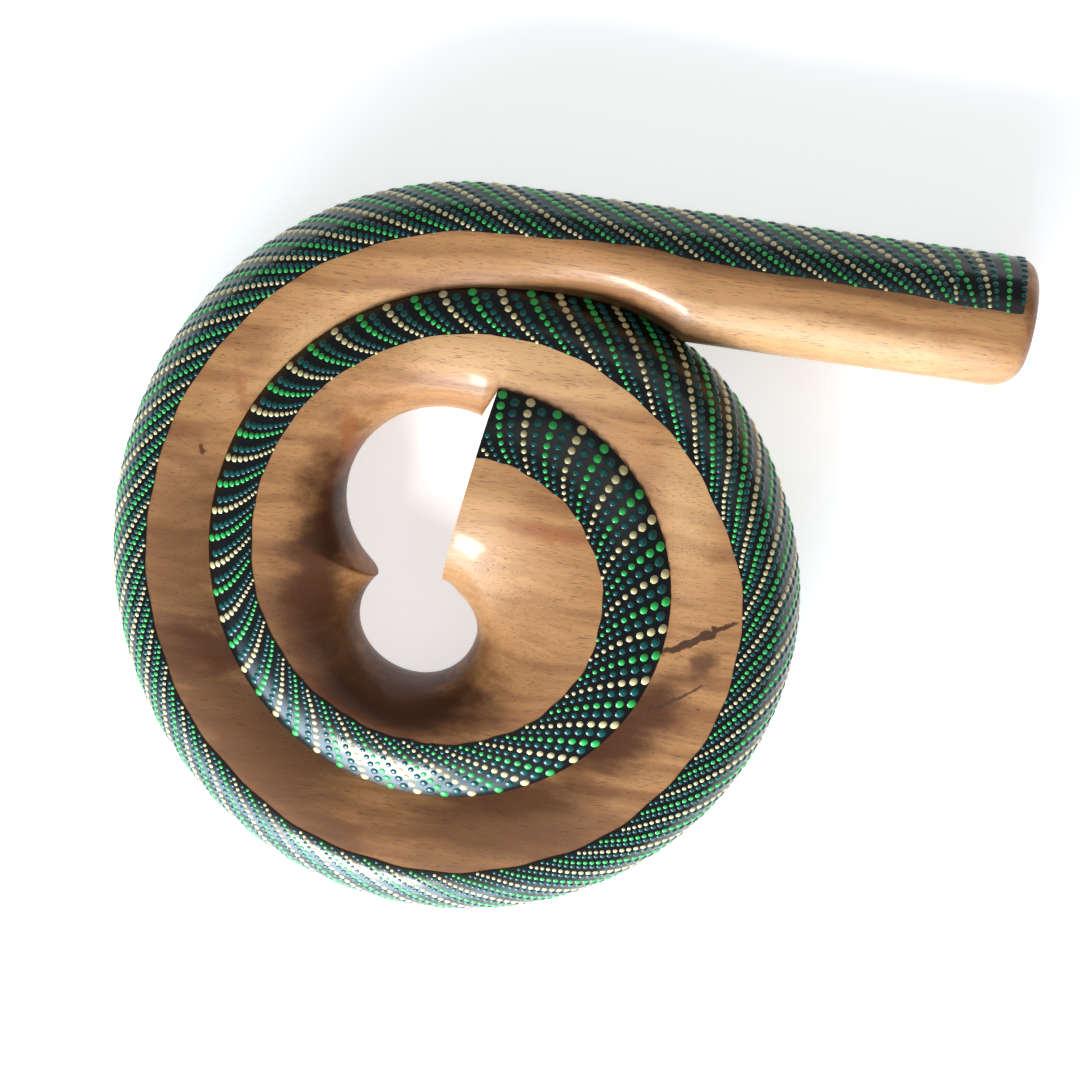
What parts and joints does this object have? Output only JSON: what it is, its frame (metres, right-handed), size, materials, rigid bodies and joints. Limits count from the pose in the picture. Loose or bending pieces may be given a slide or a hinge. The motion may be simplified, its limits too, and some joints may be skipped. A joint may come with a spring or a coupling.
{
  "type": "didgeridoo",
  "caption": "Compact spiral didgeridoo carved from wood, with dot-painted black bands, a straight blowing tube and a bell that opens into its own centre",
  "frame": {"origin": "centre of the bounding box in X and Y, on the plane the flat back rests on", "axes": "+X along the straight blowing tube towards the mouth end, +Z out of the painted front, +Y across the coil towards the tube's side"},
  "size_m": [0.4374, 0.3784, 0.0724],
  "materials": {
    "wood_front": "varnished",
    "wood_back": "varnished",
    "wood_glue": "matte",
    "ground_paint": "gloss"
  },
  "bodies": {
    "root": {"front_half": "wood_front", "back_half": "wood_back", "glue_seam": "wood_glue", "ground_outer_turn": "ground_paint", "ground_inner_turn_front": "ground_paint", "ground_inner_turn_back": "ground_paint"}
  },
  "joints": []
}
